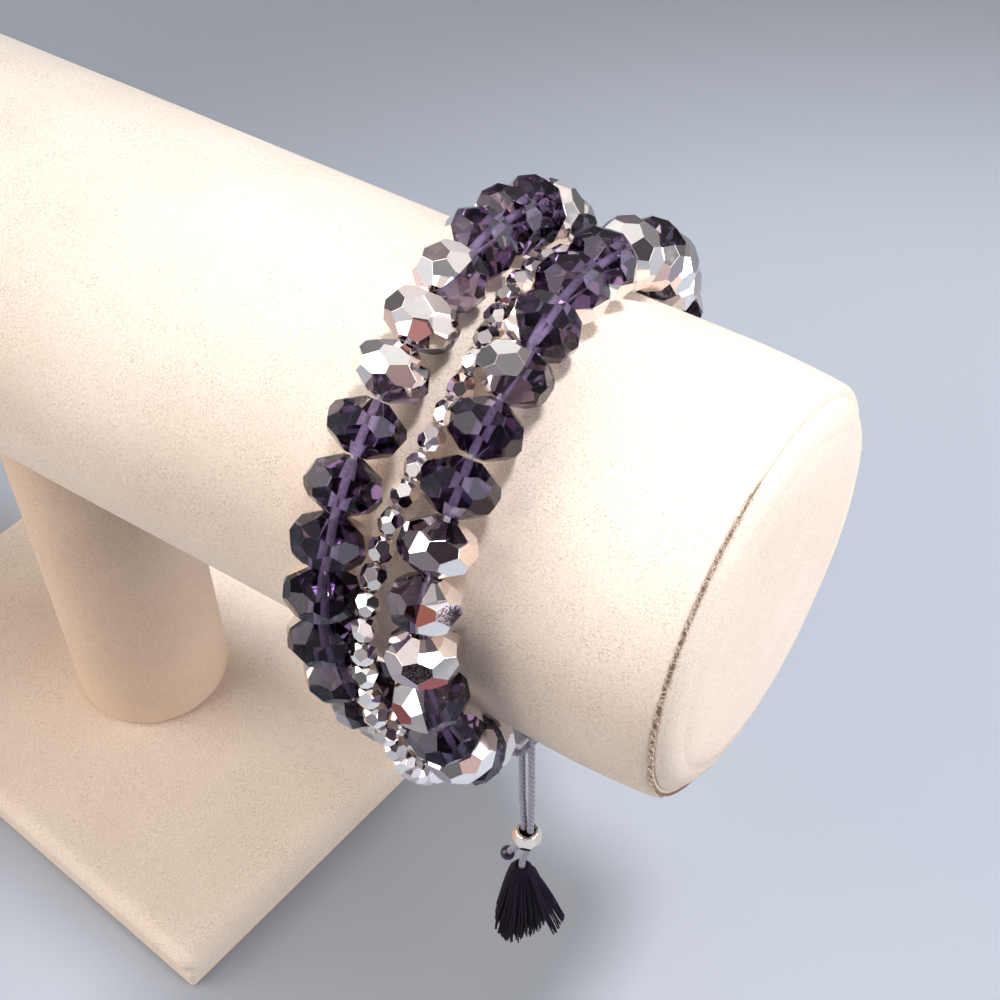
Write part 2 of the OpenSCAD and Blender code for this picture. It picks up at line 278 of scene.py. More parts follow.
def dress(piece: bpy.types.Object, finish: bpy.types.Material) -> None:
    """Give a piece one finish all over."""
    piece.data.materials.clear()
    piece.data.materials.append(finish)


def set_faces(piece: bpy.types.Object, name: str, values: Sequence[float]) -> None:
    """Give each face a value that the finishes read by name.

    Args:
        piece: The mesh piece.
        name: The value's name.
        values: One value for each face.
    """
    piece.data.attributes.new(name, "FLOAT", "FACE").data.foreach_set("value", values)


def hand_over(piece: bpy.types.Object, node: str) -> None:
    """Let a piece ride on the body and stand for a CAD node.

    Args:
        piece: The finished piece.
        node: The CAD node that it stands for.
    """
    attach(piece, "root")
    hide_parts(node)
    LOG.info("%s: %d faces for %s", piece.name, len(piece.data.polygons), node)


# Finishes


class Graph:
    """A node tree with short ways to add and link nodes."""

    def __init__(self, tree: bpy.types.NodeTree) -> None:
        """Keep the tree.

        Args:
            tree: The node tree to fill.
        """
        self.tree = tree

    def link(self, source: Socket, target: Socket) -> None:
        """Feed one socket into another."""
        self.tree.links.new(source, target)

    def add(self, kind: str, links: Optional[Dict] = None, **values: object) -> bpy.types.Node:
        """Add a node.

        Args:
            kind: The node's type name.
            links: Input name or number to the output that feeds it, or to a value.
            values: Settings of the node itself.

        Returns:
            The new node.
        """
        node = self.tree.nodes.new(kind)
        for key, value in values.items():
            setattr(node, key, value)
        for key, value in (links or {}).items():
            if isinstance(value, Socket):
                self.link(value, node.inputs[key])
            else:
                node.inputs[key].default_value = value
        return node

    def group(self, tree: bpy.types.ShaderNodeTree, *sizes: float) -> bpy.types.bpy_prop_collection:
        """Place a node group.

        Args:
            tree: The group.
            sizes: The values of its inputs, in order.

        Returns:
            Its outputs.
        """
        return self.add("ShaderNodeGroup", dict(enumerate(sizes)), node_tree=tree).outputs

    def noise(self, at: Socket, scale: Feed, **more: float) -> Socket:
        """Add a noise texture.

        Args:
            at: Where it is read.
            scale: How fine it is.
            more: Further inputs, such as Detail.

        Returns:
            Its value.
        """
        return self.add("ShaderNodeTexNoise", {"Vector": at, "Scale": scale, **more}).outputs[0]

    def math(self, operation: str, *terms: Feed) -> Socket:
        """Add a Math node.

        Args:
            operation: What it does.
            terms: Its inputs, sockets or numbers.

        Returns:
            Its value.
        """
        return self.add("ShaderNodeMath", dict(enumerate(terms)), operation=operation).outputs[0]

    def spread(self, value: Socket, low: float, high: float, to_low: float = 0.0,
               to_high: float = 1.0) -> Socket:
        """Map a value from one range to another and clamp it.

        Args:
            value: The socket to map.
            low: Goes to to_low.
            high: Goes to to_high.
            to_low: The result's low end.
            to_high: The result's high end.

        Returns:
            The mapped value's socket.
        """
        return self.add("ShaderNodeMapRange", {0: value, 1: low, 2: high, 3: to_low, 4: to_high}).outputs[0]

    def mix(self, share: Feed, a: Tint, b: Tint) -> Socket:
        """Mix two colours.

        Args:
            share: How much of b.
            a: The first colour.
            b: The second colour.

        Returns:
            The mixed colour's socket.
        """
        a, b = (c if isinstance(c, Socket) else (*c, 1.0) for c in (a, b))
        return self.add("ShaderNodeMix", {0: share, 6: a, 7: b}, data_type="RGBA").outputs[2]


def new_group(name: str, takes: Dict[str, float], gives: Iterable[str]) -> Tuple[Graph, Dict, bpy.types.Node]:
    """Start a shader node group with named inputs and outputs.

    Args:
        name: The group's name.
        takes: Input names and their defaults.
        gives: Output names.

    Returns:
        The graph, its input sockets by name, and its output node.
    """
    tree = bpy.data.node_groups.new(name, "ShaderNodeTree")
    for key, value in takes.items():
        socket = tree.interface.new_socket(name=key, in_out="INPUT", socket_type="NodeSocketFloat")
        socket.default_value = value
    for key in gives:
        tree.interface.new_socket(name=key, in_out="OUTPUT", socket_type="NodeSocketFloat")
    graph = Graph(tree)
    return graph, graph.add("NodeGroupInput").outputs, graph.add("NodeGroupOutput")


def grain_group() -> bpy.types.ShaderNodeTree:
    """Fine irregular grain over broad patches, for velvet, coat, glass and floor.

    Returns:
        A group that turns grain and patch sizes into a grain mask and a patch mask.
    """
    sizes = {"Grain per m": 4000.0, "Patches per m": 90.0}
    graph, takes, out = new_group("fine_grain", sizes, ("Grain", "Patch"))
    place = graph.add("ShaderNodeTexCoord").outputs["Object"]
    fine = graph.noise(place, takes[0], Detail=3.0, Roughness=0.65)
    broad = graph.noise(place, takes[1], Detail=2.0, Roughness=0.5)
    graph.link(graph.spread(fine, 0.3, 0.7), out.inputs[0])
    graph.link(graph.spread(broad, 0.32, 0.68), out.inputs[1])
    return graph.tree


def hair_group() -> bpy.types.ShaderNodeTree:
    """Short hair strokes that lie along the roll, scattered over the nap.

    Returns:
        A group that turns a hair size into a mask of hair tips.
    """
    graph, takes, out = new_group("short_hairs", {"Hairs per m": 7500.0}, ("Tips",))
    place = graph.add("ShaderNodeTexCoord").outputs["Object"]
    drawn_out = graph.add("ShaderNodeVectorMath", {0: place, 1: (0.5, 1.0, 1.0)}, operation="MULTIPLY")
    strokes = graph.noise(drawn_out.outputs[0], takes[0], Detail=1.0, Distortion=0.7)
    clumps = graph.noise(place, 240.0, Detail=2.0)
    share = graph.spread(clumps, 0.35, 0.65, 0.45, 1.0)
    graph.link(graph.math("MULTIPLY", graph.spread(strokes, 0.54, 0.68), share), out.inputs[0])
    return graph.tree


def lay_group() -> bpy.types.ShaderNodeTree:
    """The slanting ridges of twisted threads, along a tube's UV map.

    Returns:
        A group that turns the turns and plies of a twist into a ridge mask.
    """
    graph, takes, out = new_group("twisted_lay", {"Turns": 40.0, "Plies": 3.0}, ("Ridge",))
    parts = graph.add("ShaderNodeSeparateXYZ", {0: graph.add("ShaderNodeTexCoord").outputs["UV"]})
    along = graph.math("MULTIPLY", parts.outputs[0], takes[0])
    round_it = graph.math("MULTIPLY", parts.outputs[1], takes[1])
    phase = graph.math("MULTIPLY", graph.math("ADD", along, round_it), 2 * math.pi)
    graph.link(graph.math("MULTIPLY_ADD", graph.math("SINE", phase), 0.5, 0.5), out.inputs[0])
    return graph.tree


GRAIN = grain_group()
HAIRS = hair_group()
LAY = lay_group()


def set_plain(shader: bpy.types.Node, **values: Union[float, Point]) -> None:
    """Set plain values on a shader.

    Args:
        shader: The shader node.
        values: Input names with underscores for spaces, and their values.
    """
    for key, value in values.items():
        socket = shader.inputs[key.replace("_", " ")]
        socket.default_value = (*value, 1.0) if isinstance(value, tuple) else value


class Finish:
    """A material that its subclass paints."""

    def make(self, name: str) -> bpy.types.Material:
        """Start a material with one Principled shader and paint it.

        Args:
            name: The material's name.

        Returns:
            The material.
        """
        material = bpy.data.materials.new(name)
        material.use_nodes = True
        self.paint(Graph(material.node_tree), material.node_tree.nodes["Principled BSDF"])
        return material

    def paint(self, graph: Graph, shader: bpy.types.Node) -> None:
        """Feed the shader."""
        raise NotImplementedError


@dataclass(frozen=True)
class VelvetFinish(Finish):
    """Short cream nap: darker hair tips scattered over a pale pile that is brushed in soft patches, with
    painted shade where its bump is low.
    """

    pile: Point = (0.92, 0.785, 0.665)
    brushed: Point = (0.86, 0.71, 0.59)
    tip: Point = (0.40, 0.27, 0.20)
    grain_per_m: float = 4200.0
    patches_per_m: float = 60.0
    hairs_per_m: float = 8500.0
    cover: float = 0.6
    hollow_shade_strength: float = 0.3

    def paint(self, graph: Graph, shader: bpy.types.Node) -> None:
        """Feed the shader.

        Args:
            graph: The material's nodes.
            shader: Its Principled shader.
        """
        grain, patch = graph.group(GRAIN, self.grain_per_m, self.patches_per_m)
        hairs = graph.group(HAIRS, self.hairs_per_m)[0]
        nap = graph.mix(patch, self.brushed, self.pile)
        # The tip colour also darkens the grain where the bump is low: painted shade in the nap's hollows.
        hollow_shade = graph.spread(grain, 0.0, 1.0, self.hollow_shade_strength, 0.0)
        tips = graph.math("MULTIPLY_ADD", hairs, self.cover, hollow_shade)
        graph.link(graph.mix(tips, nap, self.tip), shader.inputs["Base Color"])
        bump = graph.add("ShaderNodeBump", {"Strength": 0.3, "Distance": 0.00004, "Height": grain})
        graph.link(bump.outputs[0], shader.inputs["Normal"])
        set_plain(shader, Roughness=0.95, Specular_IOR_Level=0.12, Sheen_Weight=0.25, Sheen_Roughness=0.4,
                  Sheen_Tint=(1.0, 0.93, 0.87))


@dataclass(frozen=True)
class CrystalFinish(Finish):
    """Purple cut glass, darker the longer the light's way through it, and deeper in some beads."""

    clear: Point = (0.91, 0.86, 0.93)
    deep: Point = (0.30, 0.27, 0.35)
    depth: Point = (0.50, 0.40, 0.55)
    density: float = 350.0
    grain_per_m: float = 900.0
    patches_per_m: float = 260.0
    cloud: float = 0.12

    def paint(self, graph: Graph, shader: bpy.types.Node) -> None:
        """Feed the shader.

        Args:
            graph: The material's nodes.
            shader: Its Principled shader.
        """
        patch = graph.group(GRAIN, self.grain_per_m, self.patches_per_m)[1]
        bead = graph.add("ShaderNodeAttribute", attribute_name="clearness").outputs["Fac"]
        share = graph.math("MULTIPLY_ADD", patch, self.cloud, bead)
        graph.link(graph.mix(share, self.deep, self.clear), shader.inputs["Base Color"])
        set_plain(shader, Transmission_Weight=1.0, IOR=1.56, Roughness=0.0, Specular_Tint=(0.55, 0.5, 0.62))
        bulk = graph.add("ShaderNodeVolumeAbsorption", {"Color": (*self.depth, 1.0), "Density": self.density})
        graph.link(bulk.outputs[0], graph.tree.nodes["Material Output"].inputs["Volume"])


@dataclass(frozen=True)
class BoreFinish(Finish):
    """The ground wall of a bead's hole, which shows through the glass as a lilac tube."""

    light: Point = (0.92, 0.86, 0.97)
    dark: Point = (0.50, 0.43, 0.58)
    grain_per_m: float = 2600.0
    patches_per_m: float = 900.0

    def paint(self, graph: Graph, shader: bpy.types.Node) -> None:
        """Feed the shader.

        Args:
            graph: The material's nodes.
            shader: Its Principled shader.
        """
        grain = graph.group(GRAIN, self.grain_per_m, self.patches_per_m)[0]
        graph.link(graph.mix(grain, self.dark, self.light), shader.inputs["Base Color"])
        set_plain(shader, Roughness=0.35, Specular_IOR_Level=0.6)


@dataclass(frozen=True)
class CoatFinish(Finish):
    """Mirror coat on cut facets. Each facet is a little different in colour and polish, and a red tone is a
    painted reflection of something red in the room.
    """

    bright: Point = (0.96, 0.92, 0.91)
    warm: Point = (0.91, 0.80, 0.76)
    painted_red_reflection: Point = (0.42, 0.12, 0.12)
    smoky: Point = (0.46, 0.39, 0.42)
    dark: Point = (0.10, 0.06, 0.08)
    grain_per_m: float = 5200.0
    patches_per_m: float = 700.0

    def paint(self, graph: Graph, shader: bpy.types.Node) -> None:
        """Feed the shader.

        Args:
            graph: The material's nodes.
            shader: Its Principled shader.
        """
        facet = graph.add("ShaderNodeAttribute", attribute_name="facet").outputs["Fac"]
        grain, patch = graph.group(GRAIN, self.grain_per_m, self.patches_per_m)
        tone = graph.mix(graph.spread(facet, 0.68, 0.76), self.bright, self.warm)
        # Facet tones from 0.95 up take the painted red reflection.
        tone = graph.mix(graph.spread(facet, 0.94, 0.96), tone, self.painted_red_reflection)
        tone = graph.mix(graph.spread(facet, 0.22, 0.18), tone, self.smoky)
        speckled = graph.math("MULTIPLY", graph.spread(facet, 0.05, 0.04), graph.spread(grain, 0.75, 0.35))
        pits = graph.math("MAXIMUM", speckled, graph.spread(grain, 0.90, 1.0, 0.0, 0.4))
        graph.link(graph.mix(pits, tone, self.dark), shader.inputs["Base Color"])
        graph.link(graph.spread(patch, 0.0, 1.0, 0.03, 0.10), shader.inputs["Roughness"])
        set_plain(shader, Metallic=1.0)


@dataclass(frozen=True)
class GlossFinish(Finish):
    """Polished near-black glass of the small end bead, faintly clouded."""

    light: Point = (0.030, 0.012, 0.045)
    dark: Point = (0.010, 0.004, 0.016)
    grain_per_m: float = 4000.0
    patches_per_m: float = 1200.0

    def paint(self, graph: Graph, shader: bpy.types.Node) -> None:
        """Feed the shader.

        Args:
            graph: The material's nodes.
            shader: Its Principled shader.
        """
        grain, patch = graph.group(GRAIN, self.grain_per_m, self.patches_per_m)
        graph.link(graph.mix(patch, self.dark, self.light), shader.inputs["Base Color"])
        graph.link(graph.spread(grain, 0.0, 1.0, 0.12, 0.22), shader.inputs["Roughness"])


@dataclass(frozen=True)
class ThreadFinish(Finish):
    """A twisted or drawn thread in one colour, darker where its bump is low: painted shade in its hollows."""

    light: Point
    dark: Point
    turns: float = 40.0
    plies: float = 3.0
    roughness: float = 0.6
    sheen: float = 0.2
    gloss: float = 0.5
    twisted: bool = True
    grain_per_m: float = 3000.0
    patches_per_m: float = 500.0

    def paint(self, graph: Graph, shader: bpy.types.Node) -> None:
        """Feed the shader.

        Args:
            graph: The material's nodes.
            shader: Its Principled shader.
        """
        grain = graph.group(GRAIN, self.grain_per_m, self.patches_per_m)[0]
        # The colour follows the bump's height, darker where it is low: painted shade in the thread's hollows.
        share = height = grain
        if self.twisted:
            height = graph.group(LAY, self.turns, self.plies)[0]
            share = graph.math("MULTIPLY_ADD", grain, 0.35, graph.math("MULTIPLY", height, 0.65))
        graph.link(graph.mix(share, self.dark, self.light), shader.inputs["Base Color"])
        bump = graph.add("ShaderNodeBump", {"Strength": 0.6, "Distance": 0.0001, "Height": height})
        graph.link(bump.outputs[0], shader.inputs["Normal"])
        set_plain(shader, Roughness=self.roughness, Sheen_Weight=self.sheen, Sheen_Roughness=0.4,
                  Specular_IOR_Level=self.gloss)


@dataclass(frozen=True)
class FloorFinish(Finish):
    """A plain pale surface with the faintest mottling."""

    light: Point = (0.40, 0.42, 0.465)
    dark: Point = (0.385, 0.405, 0.45)
    grain_per_m: float = 800.0
    patches_per_m: float = 5.0

    def paint(self, graph: Graph, shader: bpy.types.Node) -> None:
        """Feed the shader.

        Args:
            graph: The material's nodes.
            shader: Its Principled shader.
        """
        patch = graph.group(GRAIN, self.grain_per_m, self.patches_per_m)[1]
        graph.link(graph.mix(patch, self.dark, self.light), shader.inputs["Base Color"])
        set_plain(shader, Roughness=0.6, Specular_IOR_Level=0.25)


# The room


@dataclass(frozen=True)
class Softbox:
    """One soft light, in metres and watts. A hidden one doesn't show in the gloss."""

    name: str
    at: Point
    aim: Point
    size: Tuple[float, float]
    power: float
    colour: Point = (1.0, 1.0, 1.0)
    hidden: bool = False
    spread: float = 180.0

    def hang(self) -> None:
        """Add the light to the scene."""
        bpy.ops.object.light_add(type="AREA", location=self.at)
        lamp = bpy.context.object
        lamp.name = self.name
        lamp.data.shape = "RECTANGLE"
        lamp.data.size, lamp.data.size_y = self.size
        lamp.data.energy = self.power
        lamp.data.color = self.colour
        lamp.data.spread = math.radians(self.spread)
        lamp.visible_camera = lamp.visible_glossy = not self.hidden
        face(lamp, self.at, self.aim)


@dataclass(frozen=True)
class Card:
    """A round card in the room that shows in the gloss: its way, its colour, and its edge as cosines."""

    way: Point
    colour: Point
    full: float
    gone: float


@dataclass(frozen=True)
class Front:
    """The photograph's viewpoint, in millimetres, and its right-hand way."""

    eye: Vector
    right: Vector


def face(lamp: bpy.types.Object, at: Point, aim: Point) -> None:
    """Turn a lamp that hangs at one point towards another."""
    lamp.rotation_euler = (Vector(aim) - Vector(at)).to_track_quat("-Z", "Y").to_euler()


@dataclass
class Studio:
    """The camera, the floor, soft light from all round and a pale room."""

    eye: Point = (139.354, -102.086, 229.171)
    yaw: float = 34.20
    pitch: float = 48.44
    roll: float = 1.41
    lens: float = 59.55
    floor_size: float = 6.0
    boxes: Tuple[Softbox, ...] = (
        Softbox("strip", (0.0, 0.02, 0.34), (0.0, 0.02, 0.0), (0.42, 0.12), 0.21, (0.75, 1.0, 1.25),
                hidden=True),
        Softbox("right_side", (0.90, 0.12, 0.45), (0.10, 0.0, 0.09), (0.9, 0.7), 7.3, (0.97, 1.0, 1.04)),
        Softbox("front_left", (-0.50, -0.52, 0.50), (0.07, 0.0, 0.09), (0.9, 0.9), 8.8, (1.0, 0.955, 0.90)),
    )
    far_height: float = 0.5
    far_spread: float = 70.0
    far_power_per_m2: float = 3.4
    far_floor: Tuple[Tuple[str, float, float, Tuple[float, float]], ...] = (
        ("far_left", -2.13, 0.0, (2.7, 7.0)),
        ("far_right", 2.13, 0.0, (2.7, 7.0)),
        ("far_front", 0.0, -2.13, (1.56, 2.7)),
        ("far_back", 0.0, 2.13, (1.56, 2.7)),
    )
    room_low: Point = (0.17, 0.17, 0.18)
    room_dim: Point = (0.30, 0.28, 0.29)
    room_bright: Point = (1.0, 0.98, 0.98)
    room_seen: Point = (0.48, 0.50, 0.55)
    cards: Tuple[Card, ...] = (
        Card((-0.41, -0.33, 0.83), (1.0, 0.98, 0.98), 0.955, 0.93),
        Card((0.41, -0.49, 0.76), (0.09, 0.08, 0.09), 0.965, 0.945),
        Card((0.30, -0.80, 0.42), (0.40, 0.16, 0.13), 0.985, 0.975),
    )

    def make_camera(self) -> Front:
        """Stand the camera where the photograph was taken from.

        Returns:
            The viewpoint.
        """
        yaw, pitch, roll = (math.radians(a) for a in (self.yaw, self.pitch, self.roll))
        ahead = Vector((-math.sin(yaw) * math.cos(pitch), math.cos(yaw) * math.cos(pitch), -math.sin(pitch)))
        level = Vector((math.cos(yaw), math.sin(yaw), 0.0))
        below = ahead.cross(level)
        right = math.cos(roll) * level + math.sin(roll) * below
        down = math.cos(roll) * below - math.sin(roll) * level
        bpy.ops.object.camera_add()
        camera = bpy.context.object
        camera.data.sensor_width = 36.0
        camera.data.lens = self.lens
        camera.data.clip_start = 0.01
        turn = Matrix((right, -down, -ahead)).transposed().to_4x4()
        camera.matrix_world = Matrix.Translation(Vector(self.eye) * MM) @ turn
        bpy.context.scene.camera = camera
        return Front(Vector(self.eye), right)

    def make_floor(self) -> None:
        """Lay the floor under the stand."""
        deselect_all()
        bpy.ops.mesh.primitive_plane_add(size=self.floor_size)
        floor = bpy.context.object
        floor.name = "floor"
        floor.data.materials.append(FloorFinish().make("plain_floor"))

    def add_pool(self) -> None:
        """Hang the lamp that throws a soft-edged pool of light on the roll's end."""
        at, aim = (0.24, 0.10, 0.75), (0.14, 0.06, 0.0)
        bpy.ops.object.light_add(type="SPOT", location=at)
        lamp = bpy.context.object
        lamp.name = "pool"
        lamp.data.energy = 18.5
        lamp.data.color = (0.98, 1.0, 1.04)
        lamp.data.spot_size = 0.60
        lamp.data.spot_blend = 0.6
        lamp.data.shadow_soft_size = 0.06
        face(lamp, at, aim)

    def light(self) -> None:
        """Light the stand from above, right and front left, and the far floor from just above it."""
        for box in self.boxes:
            box.hang()
        self.add_pool()
        for name, x, y, size in self.far_floor:
            power = self.far_power_per_m2 * size[0] * size[1]
            Softbox(name, (x, y, self.far_height), (x, y, 0.0), size, power, hidden=True,
                    spread=self.far_spread).hang()

    def make_room(self) -> None:
        """Surround the scene with a room that shows in the gloss and is plain and pale to the eye."""
        world = bpy.data.worlds.new("room")
        bpy.context.scene.world = world
        world.use_nodes = True
        graph = Graph(world.node_tree)
        way = graph.add("ShaderNodeTexCoord").outputs["Generated"]
        up = graph.add("ShaderNodeSeparateXYZ", {0: way}).outputs[2]
        blotch = graph.noise(way, 3.2, Detail=1.0)
        high = graph.mix(graph.spread(blotch, 0.38, 0.43), self.room_dim, self.room_bright)
        sky = graph.mix(graph.spread(up, 0.16, 0.34), self.room_low, high)
        for card in self.cards:
            ends = {0: way, 1: Vector(card.way).normalized()}
            facing = graph.add("ShaderNodeVectorMath", ends, operation="DOT_PRODUCT").outputs["Value"]
            sky = graph.mix(graph.spread(facing, card.gone, card.full), sky, card.colour)
        ray = graph.add("ShaderNodeLightPath").outputs
        back = world.node_tree.nodes["Background"]
        graph.link(graph.mix(ray["Is Camera Ray"], sky, self.room_seen), back.inputs[0])
        seen = graph.math("MAXIMUM", ray["Is Glossy Ray"], ray["Is Camera Ray"])
        graph.link(graph.spread(seen, 0.0, 1.0, 0.08, 0.9), back.inputs[1])


# The stand


def from_top(turn: float) -> float:
    """A turn from the roll's top, brought between half a turn back and half a turn on."""
    return (turn + math.pi) % (2 * math.pi) - math.pi


@dataclass
class Stand:
    """The velvet-covered stand: base, post, roll and two end discs."""

    roll_r: float = 24.0
    roll_length: float = 204.4
    axis_height: float = 94.4
    seam_r: float = 1.0
    rim_r: float = 5.0
    rim_t: float = 1.9
    disc_bulge: float = 0.4
    disc_blend: float = 3.4
    end_taper: float = 0.7
    taper_length: float = 12.0
    seam_hairs: int = 1900
    pale_share: float = 0.45
    post_r: float = 12.2
    post_blank: float = 80.4
    base: Point = (88.0, 67.0, 6.6)
    base_turn: float = -7.0
    base_soft: float = 2.4
    base_under: float = 0.7
    around: int = 192

    def make_roll(self) -> bpy.types.Object:
        """Spin the roll's side fabric, which turns in softly at both seams.

        Returns:
            The roll.
        """
        half, r, s = self.roll_length / 2, self.roll_r, self.seam_r
        corner = [(r - s + s * math.sin(a), s - s * math.cos(a)) for a in np.linspace(0, math.pi / 2, 9)]
        lower = [(q, z - half) for q, z in corner]
        upper = [(q, half - z) for q, z in reversed(corner)]
        sides = [(r, z) for z in np.linspace(s - half, half - s, 90)[1:-1]]
        flat = (0.0, 8.0, 16.0)
        outline = [(q, -half) for q in flat] + lower + sides + upper + [(q, half) for q in flat[::-1]]
        roll = lathe("roll_cover", outline, self.around)
        rows = points_of(roll)
        for row in rows:
            reach = math.hypot(row[0], row[1])
            if reach > 0.9 * r:
                near = max(0.0, 1.0 - (half - abs(row[2])) / self.taper_length)
                lift = 0.06 * noise.noise(Vector(row) * 0.05) - 0.03 - self.end_taper * near ** 2
                row[0] += lift * row[0] / reach
                row[1] += lift * row[1] / reach
        move_points(roll, rows)
        settle(roll, Matrix.Translation((0, 0, self.axis_height)) @ Matrix.Rotation(math.pi / 2, 4, "Y"))
        shade(roll)
        return roll

    def make_disc(self, side: int) -> bpy.types.Object:
        """Spin one puffed end disc with a rounded rim and a slight bulge.

        Args:
            side: 1 for the right end, -1 for the left.

        Returns:
            The disc.
        """
        flat, s = self.roll_r - self.rim_r, self.rim_r
        rise = self.rim_t - s
        start = math.asin(-rise / s)
        outline = [(flat + s * math.cos(a), rise + s * math.sin(a))
                   for a in np.linspace(start, math.pi / 2, 22)]
        outline += [(q, self.rim_t + self.disc_bulge * (1 - (q / flat) ** 2))
                    for q in np.linspace(flat, 0.0, 40)[1:]]
        known = np.array(outline)[::-1]
        edge = known[-1][0]
        fine = np.linspace(0.0, edge, 600)
        height = np.interp(fine, known[:, 0], known[:, 1])
        for i, (q, _) in enumerate(outline):
            if 0.01 < q < edge - 0.3:
                near = np.abs(fine - q) <= max(min(self.disc_blend, 1.1 * (edge - q)), 0.03)
                outline[i] = (q, float(height[near].mean()))
        name = "end_cover_right" if side > 0 else "end_cover_left"
        disc = lathe(name, [(0.0, 0.0), (9.0, 0.0), (17.0, 0.0)] + outline, self.around)
        rows = points_of(disc)
        rows[:, :2] *= 1 - self.end_taper / self.roll_r
        for row in rows:
            if row[2] > 0.4:
                row[2] -= 0.10 * (0.5 + noise.noise(Vector((row[0], row[1], side * 9.0)) * 0.11))
        move_points(disc, rows)
        turn = Matrix.Rotation(side * math.pi / 2, 4, "Y")
        settle(disc, Matrix.Translation((side * self.roll_length / 2, 0, self.axis_height)) @ turn)
        shade(disc)
        return disc

    def make_seam(self, side: int) -> List[bpy.types.Object]:
        """Lay the dark line of painted shadow in one seam's groove and the short hairs that cross it.

        Args:
            side: 1 for the right end, -1 for the left.

        Returns:
            The painted shadow line with its dark hairs, and the pale hairs.
        """
        chance = random.Random(12 + side)
        x = side * self.roll_length / 2
        outside = self.roll_r - self.end_taper

        def at(turn: float, reach: float, along: float) -> Point:
            """A point by its turn from the top, its distance from the axis and its place along the roll."""
            return x + along, reach * math.sin(turn), self.axis_height + reach * math.cos(turn)

        def shown(turn: float) -> float:
            """Say how strongly the seam's painted shadow shows: it fades out near the top, where the light is
            strongest, and underneath.

            Args:
                turn: The turn from the roll's top.

            Returns:
                A share from 0 to 1.
            """
            away = from_top(turn)
            start, span = (1.3, 0.6) if away > 0 else (0.16, 0.30)
            return max(0.0, min(1.0, (abs(away) - start) / span, (2.9 - abs(away)) / 0.4))

        def hairy(turn: float) -> float:
            """How many hairs stand at a turn: they end above the roll's lower outline."""
            return shown(turn) * max(0.0, min(1.0, (2.15 - abs(from_top(turn))) / 0.35))

        # A thin dark tube just inside the groove between roll and disc: painted shadow, thinned where shown()
        # is low.
        ring = [at(2 * math.pi * k / 240, outside - 0.62, 0.0) for k in range(241)]
        line = drawn_tube("seam_shadow_line", [ring], 0.17, 8, lambda t: 0.02 + 0.98 * shown(2 * math.pi * t))
        dark_runs, pale_runs = [], []
        for _ in range(self.seam_hairs):
            turn = chance.uniform(0, 2 * math.pi)
            if chance.random() > hairy(turn):
                continue
            pale = chance.random() < self.pale_share
            middle, half = side * chance.gauss(0.03, 0.12), chance.uniform(0.15, 0.5)
            slant = chance.gauss(0.0, 0.012)
            reach = outside - (0.32 if pale else 0.42)
            run = [at(turn - slant, reach - 0.02, middle - half), at(turn, reach + 0.10, middle),
                   at(turn + slant, reach + chance.uniform(-0.05, 0.2), middle + half)]
            (pale_runs if pale else dark_runs).append(run)
        dark = drawn_tube("seam_dark_hairs", dark_runs, 0.03, 4, lambda t: 1.0 - 0.6 * t)
        pale = drawn_tube("seam_pale_hairs", pale_runs, 0.034, 4, lambda t: 1.0 - 0.6 * t)
        return [join("seam_shadow_line", [line, dark]), pale]

    def make_post(self) -> bpy.types.Object:
        """Spin the post and cut its saddle under the roll.

        Returns:
            The post.
        """
        foot, edge, r, blank = self.base[2], 1.2, self.post_r, self.post_blank
        outline = [(0.0, foot), (7.0, foot)]
        outline += [(r - edge + edge * math.sin(a), foot + edge - edge * math.cos(a))
                    for a in np.linspace(0, math.pi / 2, 8)]
        outline += [(r, z) for z in np.linspace(foot + edge, blank, 60)[1:]]
        post = lathe("post_cover", outline + [(7.0, blank), (0.0, blank)], 128)
        reach = self.roll_r + 0.15
        rows = points_of(post)
        for row in rows:
            under = self.axis_height - math.sqrt(max(reach ** 2 - row[1] ** 2, 0.0))
            share = max(0.0, (row[2] - foot) / (blank - foot) - 0.6) / 0.4
            row[2] += share * (under - blank)
        move_points(post, rows)
        settle(post, Matrix.Identity(4))
        shade(post, 50)
        return post

    def make_base(self) -> bpy.types.Object:
        """Shape the padded plate: rounded corners and edges and a faint crown.

        Returns:
            The base.
        """
        x, y, t = self.base
        deselect_all()
        bpy.ops.mesh.primitive_cube_add(size=1.0)
        base = bpy.context.object
        base.name = base.data.name = "base_cover"
        with editing(base):
            bpy.ops.mesh.select_all(action="SELECT")
            bpy.ops.mesh.subdivide(number_cuts=63)
        half = np.array((x / 2, y / 2, t / 2))
        share = points_of(base) * 2.0
        crowded = np.sign(share) * np.sin(np.abs(share) * math.pi / 2) ** 0.85
        rows = np.where(np.abs(share) > 0.999, np.sign(share), crowded) * half
        for row in rows:
            rounding = self.base_soft if row[2] > 0 else self.base_under
            core = np.clip(row, -half + rounding, half - rounding)
            away = row - core
            span = np.linalg.norm(away)
            if span > 1e-9:
                row[:] = core + away / span * rounding
            if row[2] > t / 2 - 0.05:
                row[2] -= 0.12 * (0.5 + noise.noise(Vector(row) * 0.06))
        rows[:, 2] += t / 2
        move_points(base, rows)
        close_up(base, 0.001)
        settle(base, Matrix.Rotation(math.radians(self.base_turn), 4, "Z"))
        shade(base)
        return base

    def trim(self, disc: bpy.types.Object, side: int, velvet: bpy.types.Material,
             shadow: bpy.types.Material) -> None:
        """Join a seam's line and hairs to its end disc.

        Args:
            disc: The end disc.
            side: 1 for the right end, -1 for the left.
            velvet: The finish of the pale hairs.
            shadow: The finish of the dark line and hairs.
        """
        line, pale = self.make_seam(side)
        for piece, finish in ((line, shadow), (pale, velvet)):
            settle(piece, Matrix.Identity(4))
            dress(piece, finish)
        join(disc.name, [disc, line, pale])

